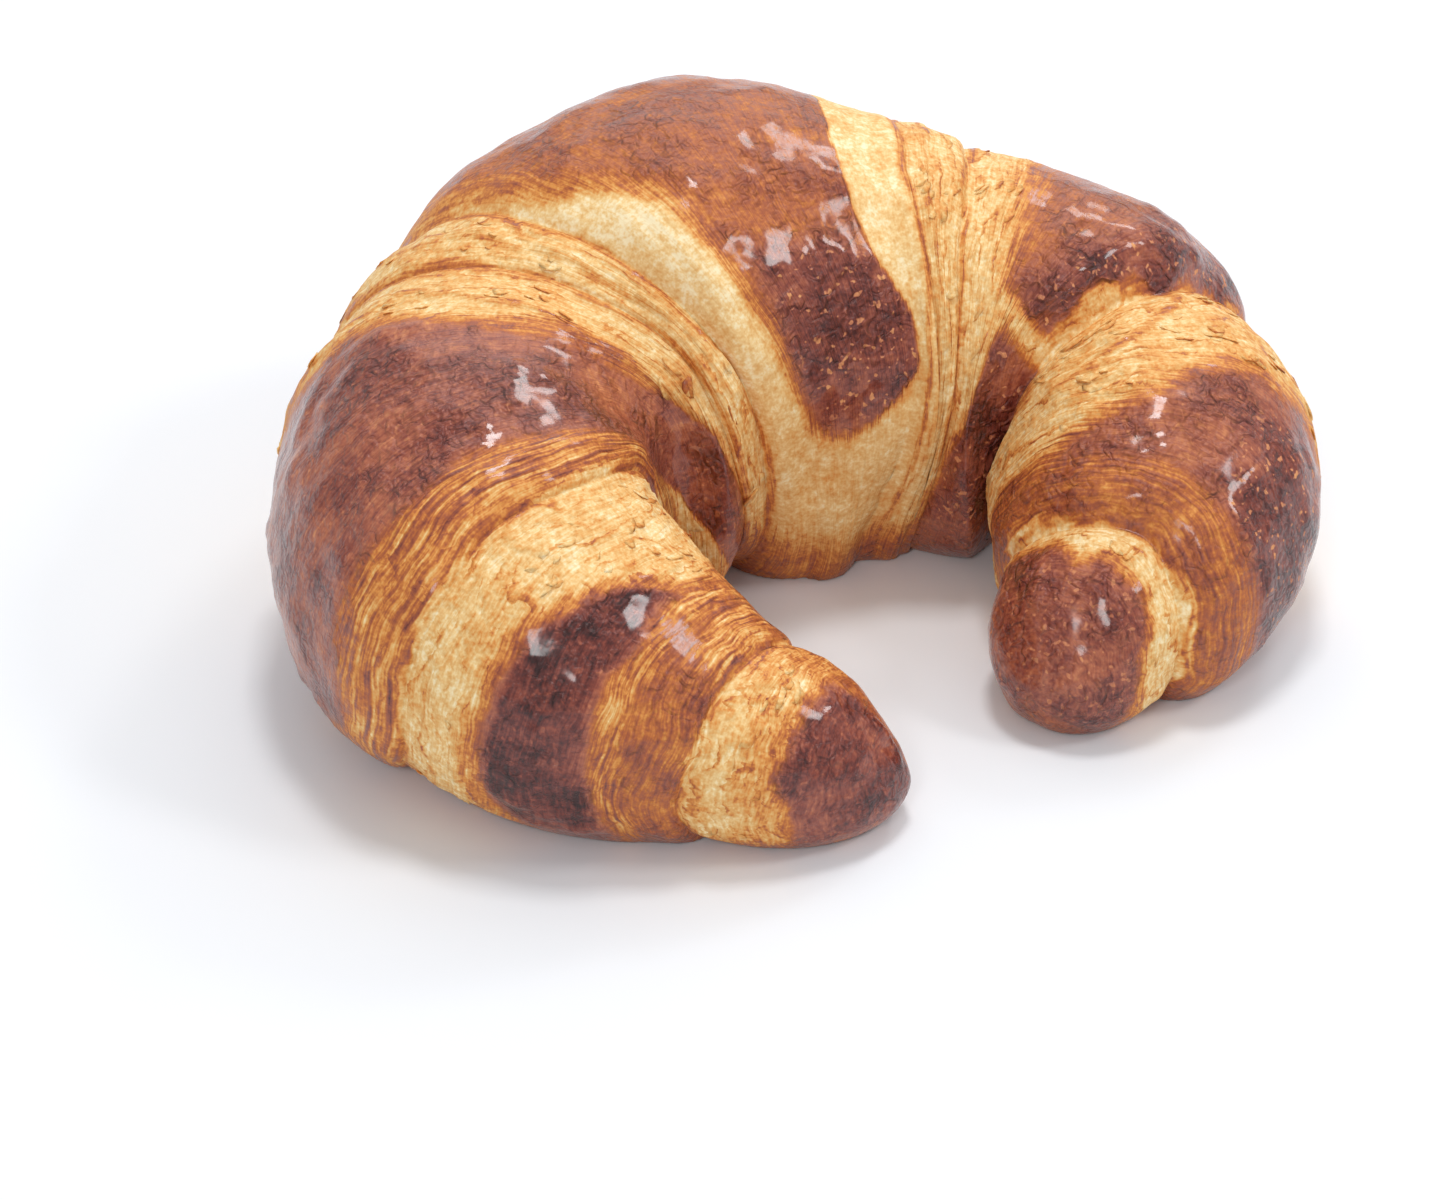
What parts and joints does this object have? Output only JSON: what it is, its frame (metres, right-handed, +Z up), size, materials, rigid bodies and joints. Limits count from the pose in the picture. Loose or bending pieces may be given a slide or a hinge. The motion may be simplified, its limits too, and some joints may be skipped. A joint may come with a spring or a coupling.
{
  "type": "croissant",
  "caption": "Baked butter croissant, deeply curved, with stepped rings of rolled dough between two blunt tips, browned glossy crust over pale flaky layers, flat underside",
  "frame": {"origin": "middle of the bounding box at the underside", "axes": "+X towards the smaller arm, across the croissant's width; +Y towards the back of the bend, the arms open towards -Y; +Z up, out of the flat underside"},
  "size_m": [0.1422, 0.116, 0.063],
  "materials": {
    "crust": "baked crust, satin brown with glossy patches over matt pale flaky dough"
  },
  "bodies": {
    "root": {"croissant": "crust"}
  },
  "joints": []
}
